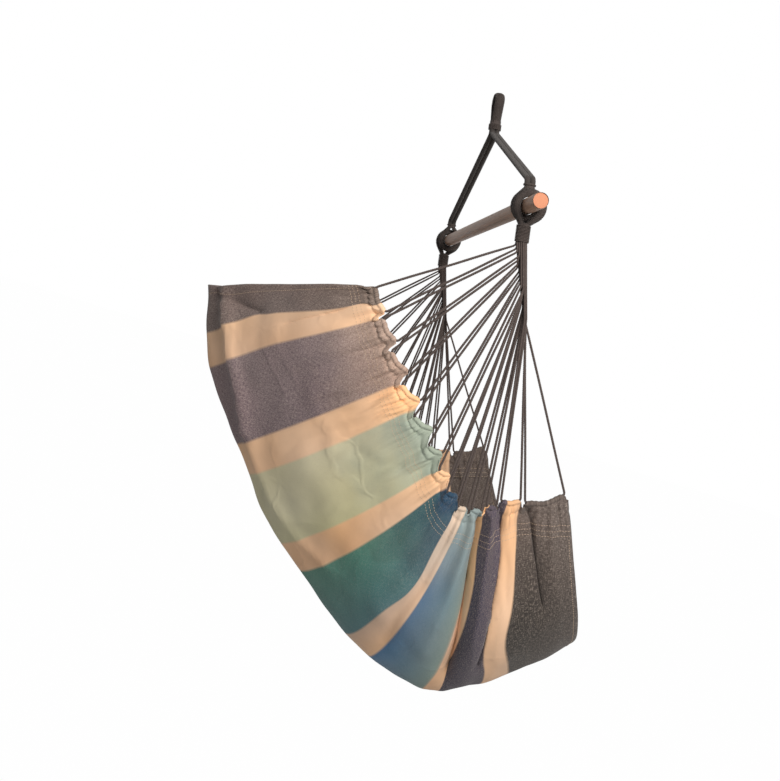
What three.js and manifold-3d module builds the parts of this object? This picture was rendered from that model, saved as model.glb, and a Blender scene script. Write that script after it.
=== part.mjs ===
// Hammock chair: a cloth seat hung by two fans of cords from a wooden spreader bar.
// Millimetres. The origin is the point where the hook bears inside the hanging eye.
// X runs along the bar, the sitter faces -Y, Z is up. The right side is the -X side.
import * as THREE from 'three';
import { mergeVertices } from 'three/addons/utils/BufferGeometryUtils.js';
import Module from 'manifold-3d';

const wasm = await Module();
wasm.setup();

// Clearance between pieces that touch on the real chair
const seatGap = 0.3;

// How far the ropes lean forward under the hook, as the weight of the seat hangs below it
const hangingLean = THREE.MathUtils.degToRad(10);

// Spreader bar, a round wooden stick with sawn ends
const barDiameter = 30;
const barLength = 1000;
const barEndChamfer = 1.5;
const barDrop = 290;
const barSides = 24;

// Hanging eye: a bight of two ropes served over, and the binding that closes it
const eyeRopeDepth = 22;
const eyeRopeThickness = 12;
const eyeHoleWidth = 24;
const eyeHoleLength = 52;
const eyeStubLength = 13;
const eyeSectionSides = 10;
const footOverlap = 3;
const footGap = 0.2;
const bendSteps = 10;
const bindingLength = 14;
const bindingWall = 1.8;

// Suspension ropes, two on each side, from the binding to the eyes at the bar
const ropeDiameter = 10;
const ropeBendRadius = 12;
const ropeBendReachShare = 0.74;
const ropeBendSteps = 4;
const ropeSides = 8;

// Served eyes that go round the bar, with their narrow ends at the ropes and at the neck
const ringThickness = 16;
const ringWidth = 22;
const collarSides = 20;
const suspensionPlay = 0.8;
const clewPlay = 4;
const barOverhang = 98;
const suspensionEyeReach = 34;
const clewEyeReach = 34;
const seizingLength = 5;
const seizingWall = 1.6;

// Clew: the neck below each clew eye, its whipping of thin twine, and the cord loops
const cordDiameter = 3.4;
const cordLoops = 13;
const cordSides = 6;
const cordBendRadius = 7.5;
const neckCordGap = 0.5;
const neckSetBack = 6;
const footSplayShare = 0.7;
const cordBendSteps = 2;
const bluntBend = THREE.MathUtils.degToRad(20);
const twineDiameter = 2.1;
const twineGap = 0.5;
const whippingTurns = 12;
const twineSides = 5;
const twineSteps = 12;
const neckGap = 1.5;
const fanFirstDepth = 5;
const fanLastDepth = 140;
const fanDeepestShare = 0.8;
const fanForward = 14;
const cordSpacingAtEdge = 8.2;

// Cloth: width, thickness, and how the seat hangs below and behind the bar
const clothWidth = 1200;
const clothThickness = 3;
const backReach = 592;
const seatDrop = 1060;
const edgeSpread = 400;
const casingSize = 9.4;
const notchDepth = 11;
const foldReach = 150;
const foldDepth = 13;
const wideTab = 60;
const narrowSpan = 0.07;
const fineColumns = 2;

// How the cloth hangs, from its top edge behind the sitter to its front edge: share of the
// length, side edge out, back and down, middle back and down, and how full the hollow is
const hangingShares = [
  [0.000, 0.962, 0.444, 0.173, 1.000, 0.203, 1.15],
  [0.067, 0.970, 0.422, 0.198, 0.983, 0.303, 1.20],
  [0.113, 0.980, 0.402, 0.228, 0.956, 0.375, 1.25],
  [0.230, 0.995, 0.311, 0.334, 0.818, 0.529, 1.30],
  [0.387, 1.000, 0.159, 0.478, 0.595, 0.725, 1.40],
  [0.543, 0.988, 0.084, 0.551, 0.312, 0.906, 1.55],
  [0.699, 0.970, 0.000, 0.549, 0.015, 1.013, 1.80],
  [0.862, 0.955, -0.064, 0.534, -0.205, 0.980, 2.10],
  [0.908, 0.950, -0.111, 0.523, -0.290, 0.948, 2.20],
  [1.000, 0.938, -0.287, 0.519, -0.497, 0.858, 2.50],
];
// Where the casing is divided into tabs, one for each cord loop
const tabShares = [
  0, 0.108, 0.167, 0.225, 0.279, 0.330, 0.376, 0.434, 0.523, 0.611, 0.702, 0.830, 0.919, 1,
];
// Where the two rows of a wide tab lie, from its middle
const wideTabShare = 0.22;
// Columns of the cloth from a side edge to the middle
const columnShares = [0, 0.1, 0.26, 0.5, 0.76, 1];
// How strongly each tab is bunched
const bunchShares = [0.5, 0.5, 0.5, 0.5, 0.5, 0.6, 0.7, 0.8, 1, 1.2, 1.2, 0.9, 0.5];

// Colours
const barColor = 0x7d7068;
const ropeColor = 0x4a413e;
const clothColor = 0x5f5a63;

const chair = new THREE.Group();

function addMesh(name, geometry, color, roughness) {
  const material = new THREE.MeshStandardMaterial({ color, roughness, metalness: 0 });
  const mesh = new THREE.Mesh(geometry, material);
  mesh.name = name;
  chair.add(mesh);
  return mesh;
}

// Joining and cutting
function toSolid(geometry) {
  const bare = geometry.clone();
  bare.deleteAttribute('normal');
  bare.deleteAttribute('uv');
  const merged = mergeVertices(bare);
  const mesh = new wasm.Mesh({
    numProp: 3,
    vertProperties: new Float32Array(merged.attributes.position.array),
    triVerts: new Uint32Array(merged.index.array),
  });
  return new wasm.Manifold(mesh);
}

function toGeometry(solid) {
  const mesh = solid.getMesh();
  const geometry = new THREE.BufferGeometry();
  geometry.setAttribute('position', new THREE.BufferAttribute(mesh.vertProperties, 3));
  geometry.setIndex(new THREE.BufferAttribute(mesh.triVerts, 1));
  return geometry;
}

// A route that passes through each of its points, one step of the tube for each
class RopeRoute extends THREE.Curve {
  constructor(points) {
    super();
    this.points = points;
  }

  getPointAt(share, target = new THREE.Vector3()) {
    const index = Math.round(share * (this.points.length - 1));
    return target.copy(this.points[index]);
  }

  getTangentAt(share, target = new THREE.Vector3()) {
    const last = this.points.length - 1;
    const index = Math.round(share * last);
    const before = this.points[Math.max(index - 1, 0)];
    const after = this.points[Math.min(index + 1, last)];
    const here = this.points[index];
    const incoming = here.clone().sub(before).normalize();
    const outgoing = after.clone().sub(here).normalize();
    return target.copy(incoming).add(outgoing).normalize();
  }
}

function polygon(radiusX, radiusY, sides) {
  const points = [];
  for (let side = 0; side < sides; side += 1) {
    const angle = (side / sides) * 2 * Math.PI;
    points.push(new THREE.Vector2(radiusX * Math.cos(angle), radiusY * Math.sin(angle)));
  }
  return new THREE.Shape(points);
}

function tube(points, section) {
  return new THREE.ExtrudeGeometry(section, {
    extrudePath: new RopeRoute(points),
    steps: points.length - 1,
    bevelEnabled: false,
  });
}

// Corner points of a route, with each inner corner rounded unless its bend is blunt
function roundCorners(corners, radius, steps) {
  const route = [corners[0]];
  for (let index = 1; index < corners.length - 1; index += 1) {
    const corner = corners[index];
    const toBefore = corners[index - 1].clone().sub(corner).normalize();
    const toAfter = corners[index + 1].clone().sub(corner).normalize();
    const halfAngle = toBefore.angleTo(toAfter) / 2;
    if (Math.PI - 2 * halfAngle < bluntBend) {
      route.push(corner);
      continue;
    }
    const reach = radius / Math.tan(halfAngle);
    const bisector = toBefore.clone().add(toAfter).normalize();
    const centre = corner.clone().addScaledVector(bisector, radius / Math.sin(halfAngle));
    const from = corner.clone().addScaledVector(toBefore, reach).sub(centre);
    const to = corner.clone().addScaledVector(toAfter, reach).sub(centre);
    const sweep = from.angleTo(to);
    for (let step = 0; step <= steps; step += 1) {
      const share = step / steps;
      const point = from.clone().multiplyScalar(Math.sin((1 - share) * sweep));
      point.addScaledVector(to, Math.sin(share * sweep)).divideScalar(Math.sin(sweep));
      route.push(point.add(centre));
    }
  }
  route.push(corners[corners.length - 1]);
  return route;
}

// A round collar with a bore, standing along Z from low to high
function collar(innerRadius, wall, low, high) {
  const profile = [
    new THREE.Vector2(innerRadius, low),
    new THREE.Vector2(innerRadius + wall, low),
    new THREE.Vector2(innerRadius + wall, high),
    new THREE.Vector2(innerRadius, high),
    new THREE.Vector2(innerRadius, low),
  ];
  return new THREE.LatheGeometry(profile, collarSides).rotateX(Math.PI / 2);
}

// An eye that stands in the plane of X and Z with its bend round the Y axis. Two straight
// sides taper from the bend to the neck, and the neck goes on down to its base.
function servedEye({ bendRadius, width, thickness, reach, neckX, neckRadius, neckBase }) {
  const outs = [neckRadius / 2 - neckX, neckRadius / 2 + neckX];
  const [before, after] = outs.map((out) => (
    Math.asin(bendRadius / Math.hypot(reach, out)) - Math.atan2(out, reach)
  ));
  const sweep = Math.PI + before + after;
  const cornerRadius = bendRadius / Math.cos(sweep / bendSteps / 2);
  const foot = { wide: neckRadius * Math.sqrt(3), thick: neckRadius - footGap };
  const full = { wide: width, thick: thickness };
  const route = [
    { x: -outs[0], z: -reach - footOverlap, ...foot },
    { x: -outs[0], z: -reach, ...foot },
  ];
  for (let step = 0; step <= bendSteps; step += 1) {
    const angle = Math.PI + before - (step / bendSteps) * sweep;
    route.push({ x: cornerRadius * Math.cos(angle), z: cornerRadius * Math.sin(angle), ...full });
  }
  route.push({ x: outs[1], z: -reach, ...foot });
  route.push({ x: outs[1], z: -reach - footOverlap, ...foot });
  const last = route.length - 1;
  const positions = [];
  route.forEach((here, index) => {
    const previous = route[Math.max(index - 1, 0)];
    const next = route[Math.min(index + 1, last)];
    const incoming = new THREE.Vector2(here.x - previous.x, here.z - previous.z).normalize();
    const outgoing = new THREE.Vector2(next.x - here.x, next.z - here.z).normalize();
    const tangent = incoming.add(outgoing).normalize();
    for (let side = 0; side < eyeSectionSides; side += 1) {
      const angle = (side / eyeSectionSides) * 2 * Math.PI;
      const out = (here.thick / 2) * Math.cos(angle);
      positions.push(
        here.x - tangent.y * out,
        (here.wide / 2) * Math.sin(angle),
        here.z + tangent.x * out,
      );
    }
  });
  const faces = [];
  for (let index = 0; index < last; index += 1) {
    for (let side = 0; side < eyeSectionSides; side += 1) {
      const nextSide = (side + 1) % eyeSectionSides;
      const [a, b] = [side, nextSide].map((at) => index * eyeSectionSides + at);
      faces.push(a, a + eyeSectionSides, b, b, a + eyeSectionSides, b + eyeSectionSides);
    }
  }
  for (let side = 1; side < eyeSectionSides - 1; side += 1) {
    const lastRing = last * eyeSectionSides;
    faces.push(0, side, side + 1);
    faces.push(lastRing, lastRing + side + 1, lastRing + side);
  }
  const bight = new THREE.BufferGeometry();
  bight.setAttribute('position', new THREE.Float32BufferAttribute(positions, 3));
  bight.setIndex(faces);
  const height = -reach - neckBase;
  const neck = new THREE.CylinderGeometry(neckRadius, neckRadius, height, collarSides)
    .rotateX(Math.PI / 2).translate(neckX, 0, -reach - height / 2);
  return toGeometry(toSolid(bight).add(toSolid(neck)));
}

const mirrorSign = { right: -1, left: 1 };
const sides = Object.keys(mirrorSign);

// Spreader bar
const barRadius = barDiameter / 2;
const barProfile = [
  new THREE.Vector2(0, -barLength / 2),
  new THREE.Vector2(barRadius - barEndChamfer, -barLength / 2),
  new THREE.Vector2(barRadius, -barLength / 2 + barEndChamfer),
  new THREE.Vector2(barRadius, barLength / 2 - barEndChamfer),
  new THREE.Vector2(barRadius - barEndChamfer, barLength / 2),
  new THREE.Vector2(0, barLength / 2),
];
const bar = addMesh('spreader_bar', new THREE.LatheGeometry(barProfile, barSides), barColor, 0.6);
bar.rotation.z = Math.PI / 2;
bar.position.z = -barDrop;

// Hanging eye, closed at its base by the binding round the four rope ends
const ropeRadius = ropeDiameter / 2;
const ropePlace = ropeRadius + seatGap;
const bundleOfFour = ropePlace * Math.SQRT2 + ropeRadius;
const eyeBendRadius = (eyeHoleWidth + eyeRopeThickness) / 2;
const eyeBendCentre = eyeRopeThickness / 2 - eyeBendRadius;
const eyeStubTop = -eyeHoleLength;
const eyeStubBase = eyeStubTop - eyeStubLength;
addMesh('hanging_eye', servedEye({
  bendRadius: eyeBendRadius,
  width: eyeRopeDepth,
  thickness: eyeRopeThickness,
  reach: eyeBendCentre - eyeStubTop,
  neckX: 0,
  neckRadius: bundleOfFour,
  neckBase: eyeStubBase - eyeBendCentre,
}), ropeColor, 0.9).position.z = eyeBendCentre;

const bindingTop = eyeStubTop - eyeStubLength / 2;
const bindingBase = bindingTop - bindingLength;
addMesh(
  'eye_binding',
  collar(bundleOfFour + seatGap, bindingWall, bindingBase, bindingTop),
  ropeColor,
  0.9,
);

// Served eyes round the bar. The bar lies in the bottom of the suspension eyes, and the clew
// eyes lie on top of the bar.
const ringBend = (play) => barRadius + seatGap + play / 2 + ringThickness / 2;
const suspensionX = barLength / 2 - barOverhang;
const suspensionLift = suspensionPlay / 2;
const clewLift = -clewPlay / 2;
const suspensionStubRadius = ropeDiameter + seatGap;
const suspensionStubLength = footOverlap + seizingLength / 2 + seatGap;
const suspensionStubTop = -barDrop + suspensionLift + suspensionEyeReach + suspensionStubLength;
const clewX = suspensionX + ringWidth + seatGap;
const suspensionEyeGeometry = servedEye({
  bendRadius: ringBend(suspensionPlay),
  width: ringWidth,
  thickness: ringThickness,
  reach: suspensionEyeReach,
  neckX: 0,
  neckRadius: suspensionStubRadius,
  neckBase: -suspensionEyeReach - suspensionStubLength,
}).rotateZ(Math.PI / 2).rotateX(Math.PI);
for (const side of sides) {
  const eye = addMesh(`${side}_suspension_eye`, suspensionEyeGeometry, ropeColor, 0.9);
  eye.position.set(mirrorSign[side] * suspensionX, 0, -barDrop + suspensionLift);
  const seizing = addMesh(
    `${side}_rope_seizing`,
    collar(suspensionStubRadius + seatGap, seizingWall, 0, seizingLength),
    ropeColor,
    0.9,
  );
  seizing.position.set(
    mirrorSign[side] * suspensionX, 0, suspensionStubTop - seizingLength / 2,
  );
}

// Suspension ropes
const ropeSection = polygon(ropeRadius, ropeRadius, ropeSides);
function ropeCorners(sign, sideY) {
  const y = sideY * ropePlace;
  const top = eyeStubBase - seatGap;
  const foot = suspensionStubTop + seatGap;
  const upperBend = bindingBase - ropeBendReachShare * ropeBendRadius;
  const lowerBend = suspensionStubTop + seizingLength / 2 + ropeBendReachShare * ropeBendRadius;
  return [
    new THREE.Vector3(sign * ropePlace, y, top),
    new THREE.Vector3(sign * ropePlace, y, upperBend),
    new THREE.Vector3(sign * suspensionX, y, lowerBend),
    new THREE.Vector3(sign * suspensionX, y, foot),
  ];
}
for (const side of sides) {
  for (const [place, sideY] of [['front', -1], ['rear', 1]]) {
    const route = roundCorners(ropeCorners(mirrorSign[side], sideY), ropeBendRadius, ropeBendSteps);
    addMesh(`${side}_${place}_rope`, tube(route, ropeSection), ropeColor, 0.9);
  }
}

// Places of the cord ends in the neck: a close hexagonal pack, back places first
const cordRadius = cordDiameter / 2;
const packPitch = cordDiameter + neckCordGap;
function packedPlaces(count) {
  const reach = Math.ceil(Math.sqrt(count));
  const places = [];
  for (let row = -reach; row <= reach; row += 1) {
    for (let column = -reach; column <= reach; column += 1) {
      const x = (column + row / 2 - 0.5) * packPitch;
      const y = (row * Math.sqrt(3) / 2 - Math.sqrt(3) / 6) * packPitch;
      places.push(new THREE.Vector2(x, y));
    }
  }
  places.sort((a, b) => a.length() - b.length());
  const chosen = places.slice(0, count);
  const rowOf = (place) => Math.round((2 * place.y / packPitch + 1 / Math.sqrt(3)) / Math.sqrt(3));
  const turn = (place) => (rowOf(place) % 2 === 0 ? 1 : -1);
  return chosen.sort((a, b) => rowOf(b) - rowOf(a) || turn(a) * (a.x - b.x));
}

const cordCount = cordLoops * 2;
const cordPlaces = packedPlaces(cordCount);
const neckRadius = Math.max(...cordPlaces.map((place) => place.length())) + cordRadius;

// Clew eyes and the whipping of thin twine wound round each neck
const twineRadius = twineDiameter / 2;
const whippingPitch = twineDiameter + twineGap;
const whippingLength = whippingTurns * whippingPitch + twineDiameter;
const whippingTop = -barDrop + clewLift - clewEyeReach - neckGap;
const whippingBase = whippingTop - whippingLength;
const neckBase = whippingTop - whippingLength / 2;
const clewEyeGeometry = servedEye({
  bendRadius: ringBend(clewPlay),
  width: ringWidth,
  thickness: ringThickness,
  reach: clewEyeReach,
  neckX: neckSetBack,
  neckRadius,
  neckBase: neckBase + barDrop - clewLift,
}).rotateZ(Math.PI / 2);

function whippingRoute() {
  const radius = (neckRadius + seatGap + twineRadius) / Math.cos(Math.PI / twineSteps);
  const steps = whippingTurns * twineSteps;
  const route = [];
  for (let step = 0; step <= steps; step += 1) {
    const angle = (step / twineSteps) * 2 * Math.PI;
    const z = whippingTop - twineRadius - (step / twineSteps) * whippingPitch;
    route.push(new THREE.Vector3(radius * Math.cos(angle), radius * Math.sin(angle), z));
  }
  return route;
}
const whippingGeometry = tube(whippingRoute(), polygon(twineRadius, twineRadius, twineSides));

// Least gap of a wound tube to itself, taken between points half a turn or more apart
function leastGap(route, stepsPerTurn, diameter) {
  let least = Infinity;
  for (let first = 0; first < route.length; first += 1) {
    for (let second = first + stepsPerTurn / 2; second < route.length; second += 1) {
      least = Math.min(least, route[first].distanceTo(route[second]));
    }
  }
  return least - diameter;
}
console.log(
  `least gap of the neck whipping to itself: ${
    leastGap(whippingRoute(), twineSteps, twineDiameter).toFixed(2)} mm`,
);

for (const side of sides) {
  const eye = addMesh(`${side}_clew_eye`, clewEyeGeometry, ropeColor, 0.9);
  const whipping = addMesh(`${side}_neck_whipping`, whippingGeometry, ropeColor, 0.9);
  eye.position.set(mirrorSign[side] * clewX, 0, -barDrop + clewLift);
  whipping.position.set(mirrorSign[side] * clewX, neckSetBack, 0);
}

// Smooth value of each column of the hanging table at a share of the cloth's length
function hangingAt(share) {
  const rows = hangingShares;
  let index = rows.findIndex((row) => row[0] > share) - 1;
  if (index < 0) index = rows.length - 2;
  const slope = (at, column) => {
    const low = rows[Math.max(at - 1, 0)];
    const high = rows[Math.min(at + 1, rows.length - 1)];
    return (high[column] - low[column]) / (high[0] - low[0]);
  };
  const span = rows[index + 1][0] - rows[index][0];
  const t = (share - rows[index][0]) / span;
  return rows[0].map((unused, column) => {
    const a = rows[index][column];
    const b = rows[index + 1][column];
    const slopeA = slope(index, column) * span;
    const slopeB = slope(index + 1, column) * span;
    const curve = 2 * a - 2 * b + slopeA + slopeB;
    const bend = 3 * b - 3 * a - 2 * slopeA - slopeB;
    return ((curve * t + bend) * t + slopeA) * t + a;
  });
}

// Point of the smooth seat on the right side: share of the length, and share of the way
// from the side edge to the middle
const sectionSteps = 24;
function seatPoint(lengthShare, acrossShare) {
  const [, out, edgeBack, edgeDown, midBack, midDown, fullness] = hangingAt(lengthShare);
  const edge = new THREE.Vector3(
    -out * edgeSpread, edgeBack * backReach, -barDrop - edgeDown * seatDrop,
  );
  const middle = new THREE.Vector3(0, midBack * backReach, -barDrop - midDown * seatDrop);
  const points = [];
  for (let step = 0; step <= sectionSteps; step += 1) {
    const angle = (step / sectionSteps) * (Math.PI / 2);
    const sunk = Math.sin(angle) ** (2 / fullness);
    const inward = 1 - Math.max(Math.cos(angle), 0) ** (2 / fullness);
    points.push(new THREE.Vector3(
      THREE.MathUtils.lerp(edge.x, 0, inward),
      THREE.MathUtils.lerp(edge.y, middle.y, sunk),
      THREE.MathUtils.lerp(edge.z, middle.z, sunk),
    ));
  }
  const lengths = [0];
  for (let step = 1; step <= sectionSteps; step += 1) {
    lengths.push(lengths[step - 1] + points[step].distanceTo(points[step - 1]));
  }
  const wanted = Math.min(acrossShare, 1) * lengths[sectionSteps];
  let step = 1;
  while (step < sectionSteps && lengths[step] < wanted) step += 1;
  const local = (wanted - lengths[step - 1]) / (lengths[step] - lengths[step - 1]);
  return points[step - 1].clone().lerp(points[step], local);
}

function seatNormal(lengthShare, acrossShare) {
  const nudge = 0.01;
  const along = seatPoint(Math.min(lengthShare + nudge, 1), acrossShare)
    .sub(seatPoint(Math.max(lengthShare - nudge, 0), acrossShare));
  if (acrossShare > 1 - nudge) return new THREE.Vector3(0, -along.z, along.y).normalize();
  const across = seatPoint(lengthShare, Math.min(acrossShare + nudge, 1))
    .sub(seatPoint(lengthShare, Math.max(acrossShare - nudge, 0)));
  return across.cross(along).normalize();
}

// Tabs: each has a centre on the side edge, a direction towards the neck, and a run across it
const neckMouth = new THREE.Vector3(-clewX, neckSetBack, whippingBase);
const fanBottom = new THREE.Vector3(-clewX, -fanForward, whippingBase - fanLastDepth);
function fanDepth(order) {
  const share = Math.min(order / (fanDeepestShare * (cordCount - 1)), 1);
  return THREE.MathUtils.lerp(fanFirstDepth, fanLastDepth, share);
}
function leavePoint(order) {
  const place = cordPlaces[order];
  const leave = neckMouth.clone().lerp(fanBottom, fanDepth(order) / fanLastDepth);
  return leave.add(new THREE.Vector3(place.x, place.y, 0));
}
const tabs = [];
for (let index = 0; index < cordLoops; index += 1) {
  const start = seatPoint(tabShares[index], 0);
  const end = seatPoint(tabShares[index + 1], 0);
  const spare = cordSpacingAtEdge / 2 / start.distanceTo(end);
  const feet = [spare, 1 - spare].map((share, strand) => {
    const foot = start.clone().lerp(end, share);
    foot.x += footSplayShare * cordPlaces[2 * index + strand].x;
    return foot;
  });
  const centre = feet[0].clone().lerp(feet[1], 0.5);
  const up = leavePoint(2 * index).lerp(leavePoint(2 * index + 1), 0.5).sub(centre).normalize();
  const run = feet[1].clone().sub(feet[0]);
  run.addScaledVector(up, -run.dot(up));
  const width = run.length();
  run.normalize();
  tabs.push({ centre, up, run, width, bunch: bunchShares[index] });
}

// Cord loops: down from the neck, through the casing tab, and back up
const cordSection = polygon(cordRadius, cordRadius, cordSides);
function cordCorners(index) {
  const tab = tabs[index];
  const ends = [-1, 1].map((direction, strand) => {
    const order = 2 * index + strand;
    const place = cordPlaces[order];
    const mouth = neckMouth.clone().add(new THREE.Vector3(place.x, place.y, 0));
    const top = mouth.clone().setZ(neckBase - seatGap);
    const foot = tab.centre.clone().addScaledVector(tab.run, direction * tab.width / 2);
    return [top, mouth, leavePoint(order), foot];
  });
  return [...ends[0], ...ends[1].reverse()];
}

function mirrored(points, side) {
  if (side === 'right') return points;
  return points.map((point) => new THREE.Vector3(-point.x, point.y, point.z));
}

for (const side of sides) {
  for (let index = 0; index < cordLoops; index += 1) {
    const route = roundCorners(cordCorners(index), cordBendRadius, cordBendSteps);
    const number = String(index + 1).padStart(2, '0');
    addMesh(`${side}_cord_${number}`, tube(mirrored(route, side), cordSection), ropeColor, 0.9);
  }
}

// Cloth: rows at the notches between the tabs and at both ends of each tab
const casingHalf = casingSize / 2;
const boreHalf = cordRadius + seatGap;
const casingLength = (tab) => tab.width - 2 * cordBendRadius - seatGap;

function clothRows() {
  const rows = [];
  for (let index = 0; index < cordLoops; index += 1) {
    const from = tabShares[index];
    const to = tabShares[index + 1];
    const before = tabs[Math.max(index - 1, 0)];
    rows.push({ share: from, notch: [before, tabs[index]], bunch: -(before.bunch + tabs[index].bunch) / 2 });
    const wide = casingLength(tabs[index]) > wideTab;
    for (const direction of wide ? [-1, 1] : [0]) {
      const inTab = 0.5 + direction * wideTabShare;
      rows.push({
        share: THREE.MathUtils.lerp(from, to, inTab),
        tab: tabs[index],
        direction,
        bunch: tabs[index].bunch,
        edgeOnly: !wide && to - from < narrowSpan,
      });
    }
  }
  const last = tabs[cordLoops - 1];
  rows.push({ share: 1, notch: [last, last], bunch: 0 });
  rows[0].bunch = 0;
  return rows;
}

function edgePoint(row) {
  if (row.tab) {
    const { centre, up, run } = row.tab;
    const reach = Math.max(casingLength(row.tab), casingSize) / 2 - casingHalf / 2;
    const inWall = (casingHalf + boreHalf) / 2;
    return centre.clone().addScaledVector(run, row.direction * reach).addScaledVector(up, -inWall);
  }
  const base = seatPoint(row.share, 0);
  const [before, after] = row.notch;
  const up = before.up.clone().add(after.up).normalize();
  const step = Math.abs(before.centre.clone().sub(after.centre).dot(up)) / 2;
  return base.addScaledVector(up, -step - notchDepth);
}

function clothPoint(row, column) {
  const across = columnShares[column];
  if (column === 0) return edgePoint(row);
  const halfWidth = clothWidth / 2;
  const depth = foldDepth * row.bunch * Math.exp(-across * halfWidth / foldReach);
  return seatPoint(row.share, across).addScaledVector(seatNormal(row.share, across), depth);
}

function clothSheet() {
  const rows = clothRows();
  const half = columnShares.length;
  const columns = 2 * half - 1;
  const middle = rows.map((row) => columnShares.map((unused, column) => clothPoint(row, column)));
  const grid = middle.map((line) => {
    const farHalf = line.slice(0, -1).reverse()
      .map((point) => new THREE.Vector3(-point.x, point.y, point.z));
    return [...line, ...farHalf];
  });
  const normalAt = (row, column) => {
    const up = grid[Math.min(row + 1, rows.length - 1)][column];
    const down = grid[Math.max(row - 1, 0)][column];
    const right = grid[row][Math.min(column + 1, columns - 1)];
    const left = grid[row][Math.max(column - 1, 0)];
    return right.clone().sub(left).cross(up.clone().sub(down)).normalize();
  };
  const positions = [];
  for (const side of [1, -1]) {
    for (let row = 0; row < rows.length; row += 1) {
      for (let column = 0; column < columns; column += 1) {
        const point = grid[row][column].clone()
          .addScaledVector(normalAt(row, column), side * clothThickness / 2);
        positions.push(point.x, point.y, point.z);
      }
    }
  }
  const count = rows.length * columns;
  const at = (layer, row, column) => layer * count + row * columns + column;
  const faces = [];
  const face = (...corners) => {
    for (let index = 1; index < corners.length - 1; index += 1) {
      const [a, b, c] = [corners[0], corners[index], corners[index + 1]];
      faces.push(at(0, ...a), at(0, ...b), at(0, ...c), at(1, ...a), at(1, ...c), at(1, ...b));
    }
  };
  const rimFace = (from, to) => {
    faces.push(at(0, ...from), at(0, ...to), at(1, ...to));
    faces.push(at(0, ...from), at(1, ...to), at(1, ...from));
  };
  const lastRow = rows.length - 1;
  const lastColumn = columns - 1;
  const inEdgeOnly = (row) => Boolean(rows[row].edgeOnly);
  for (let column = 0; column < lastColumn; column += 1) {
    const fineHere = column < fineColumns || column > lastColumn - fineColumns;
    const fineNext = column + 1 < fineColumns || column + 1 > lastColumn - fineColumns;
    const onRight = column < lastColumn / 2;
    for (let row = 0; row < lastRow; row += 1) {
      if (fineHere && fineNext) {
        const ring = [[row, column], [row, column + 1], [row + 1, column + 1], [row + 1, column]];
        if (Boolean(rows[row].tab) === onRight) ring.push(ring.shift());
        face(...ring);
      } else if (!inEdgeOnly(row)) {
        const next = inEdgeOnly(row + 1) ? row + 2 : row + 1;
        const ring = [[row, column], [row, column + 1], [next, column + 1], [next, column]];
        if (next === row + 2 && fineHere) ring.unshift([row + 1, column]);
        if (next === row + 2 && fineNext) {
          face([row + 1, column + 1], ring[2], ring[3], ring[0], ring[1]);
        } else {
          face(...ring);
        }
      }
    }
  }
  for (let row = 0; row < lastRow; row += 1) {
    rimFace([row, 0], [row + 1, 0]);
    rimFace([row + 1, lastColumn], [row, lastColumn]);
  }
  for (let column = 0; column < lastColumn; column += 1) {
    rimFace([0, column + 1], [0, column]);
    rimFace([lastRow, column], [lastRow, column + 1]);
  }
  const geometry = new THREE.BufferGeometry();
  geometry.setAttribute('position', new THREE.Float32BufferAttribute(positions, 3));
  geometry.setIndex(faces);
  return geometry;
}

// The square casing of a tab with the bore for its cord
function casing(tab, side) {
  const square = (half) => [[-half, -half], [half, -half], [half, half], [-half, half]]
    .map(([x, y]) => new THREE.Vector2(x, y));
  const shape = new THREE.Shape(square(casingHalf));
  shape.holes.push(new THREE.Path(square(boreHalf).reverse()));
  const length = casingLength(tab);
  const geometry = new THREE.ExtrudeGeometry(shape, { depth: length, bevelEnabled: false });
  const toSide = -mirrorSign[side];
  const run = tab.run.clone();
  const up = tab.up.clone();
  const centre = tab.centre.clone();
  for (const vector of [run, up, centre]) vector.x *= toSide;
  const place = new THREE.Matrix4().makeBasis(up.clone().cross(run), up, run);
  return geometry.translate(0, 0, -length / 2).applyMatrix4(place.setPosition(centre));
}

let cloth = toSolid(clothSheet());
for (const side of sides) {
  for (const tab of tabs) cloth = cloth.add(toSolid(casing(tab, side)));
}
addMesh('fabric_seat', toGeometry(cloth), clothColor, 0.95);

chair.rotation.x = -hangingLean;

export default chair;
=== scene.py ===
import bpy
import math
import numpy as np
from mathutils import Matrix, Vector


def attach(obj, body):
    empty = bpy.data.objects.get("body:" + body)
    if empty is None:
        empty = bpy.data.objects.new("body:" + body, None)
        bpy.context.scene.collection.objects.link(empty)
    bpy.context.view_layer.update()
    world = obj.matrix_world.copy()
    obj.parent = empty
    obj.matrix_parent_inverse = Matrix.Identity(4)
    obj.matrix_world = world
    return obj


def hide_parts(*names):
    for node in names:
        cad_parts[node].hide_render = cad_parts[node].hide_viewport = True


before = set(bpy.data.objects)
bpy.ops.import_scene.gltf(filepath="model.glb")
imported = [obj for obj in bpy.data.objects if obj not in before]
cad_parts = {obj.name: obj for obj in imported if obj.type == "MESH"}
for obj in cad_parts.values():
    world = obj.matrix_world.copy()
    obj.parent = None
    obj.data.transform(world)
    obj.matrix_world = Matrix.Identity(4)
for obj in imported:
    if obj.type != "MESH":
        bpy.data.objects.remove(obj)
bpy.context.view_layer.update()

# Camera: at the sitter's right and a little behind, level with the hollow of the seat.
# It is turned on its axis so that the ropes and the seat stand as in the photograph.
bpy.ops.object.select_all(action="DESELECT")
camera_place = (-2.2555, 0.3481, -0.6342)
bpy.ops.object.camera_add(location=camera_place)
camera = bpy.context.object
camera.name = "camera"
to_right = Vector((-0.12119, -0.94637, 0.29949)).normalized()
to_top = Vector((0.0700, 0.29285, 0.95364)).normalized()
camera.rotation_euler = Matrix((to_right, to_top, to_right.cross(to_top))).transposed().to_euler()
camera.data.lens = 46.09
bpy.context.scene.camera = camera

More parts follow.
